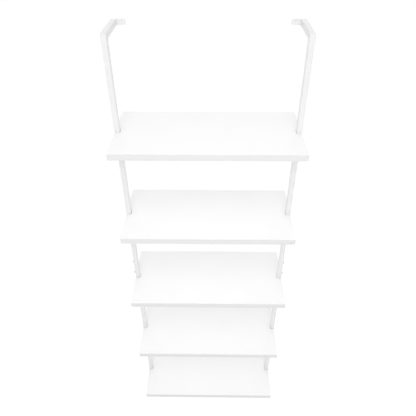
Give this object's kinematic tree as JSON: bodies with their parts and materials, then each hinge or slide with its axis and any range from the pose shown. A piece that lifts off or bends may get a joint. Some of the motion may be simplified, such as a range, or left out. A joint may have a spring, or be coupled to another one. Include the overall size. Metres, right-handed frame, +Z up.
{
  "type": "ladder bookcase",
  "caption": "Tall open ladder bookcase: white boards notched round slim white box-tube side frames on small feet, with top arms and plates that fix to the wall.",
  "frame": {"origin": "on the floor, in the middle of the whole depth from the boards' front edge to the wall, halfway between the side frames", "axes": "+X to the right seen from the front, +Y towards the wall, +Z up"},
  "size_m": [0.619, 0.303, 1.84],
  "materials": {
    "board_paint": "smooth satin white paint on fibreboard",
    "frame_paint": "satin white powder coat on steel",
    "bolt_steel": "zinc-plated steel, darker than the tube",
    "sleeve_steel": "bare zinc-plated steel, hidden in the tube",
    "screw_steel": "zinc-plated steel",
    "foot_plastic": "moulded white plastic"
  },
  "bodies": {
    "root": {"shelf_1": "board_paint", "shelf_2": "board_paint", "shelf_3": "board_paint", "shelf_4": "board_paint", "shelf_5": "board_paint", "shelf_bracket_1_left": "frame_paint", "shelf_bracket_1_right": "frame_paint", "shelf_bracket_2_left": "frame_paint", "shelf_bracket_2_right": "frame_paint", "shelf_bracket_3_left": "frame_paint", "shelf_bracket_3_right": "frame_paint", "shelf_bracket_4_left": "frame_paint", "shelf_bracket_4_right": "frame_paint", "shelf_bracket_5_left": "frame_paint", "shelf_bracket_5_right": "frame_paint", "shelf_screw_1_front_left": "screw_steel", "shelf_screw_1_front_right": "screw_steel", "shelf_screw_1_back_left": "screw_steel", "shelf_screw_1_back_right": "screw_steel", "shelf_screw_2_front_left": "screw_steel", "shelf_screw_2_front_right": "screw_steel", "shelf_screw_2_back_left": "screw_steel", "shelf_screw_2_back_right": "screw_steel", "shelf_screw_3_front_left": "screw_steel", "shelf_screw_3_front_right": "screw_steel", "shelf_screw_3_back_left": "screw_steel", "shelf_screw_3_back_right": "screw_steel", "shelf_screw_4_front_left": "screw_steel", "shelf_screw_4_front_right": "screw_steel", "shelf_screw_4_back_left": "screw_steel", "shelf_screw_4_back_right": "screw_steel", "shelf_screw_5_front_left": "screw_steel", "shelf_screw_5_front_right": "screw_steel", "shelf_screw_5_back_left": "screw_steel", "shelf_screw_5_back_right": "screw_steel", "lower_post_left": "frame_paint", "upper_post_left": "frame_paint", "top_arm_left": "frame_paint", "wall_plate_left": "frame_paint", "splice_sleeve_left": "sleeve_steel", "splice_bolt_lower_left": "bolt_steel", "splice_bolt_upper_left": "bolt_steel", "foot_glide_left": "foot_plastic", "lower_post_right": "frame_paint", "upper_post_right": "frame_paint", "top_arm_right": "frame_paint", "wall_plate_right": "frame_paint", "splice_sleeve_right": "sleeve_steel", "splice_bolt_lower_right": "bolt_steel", "splice_bolt_upper_right": "bolt_steel", "foot_glide_right": "foot_plastic"}
  },
  "joints": []
}
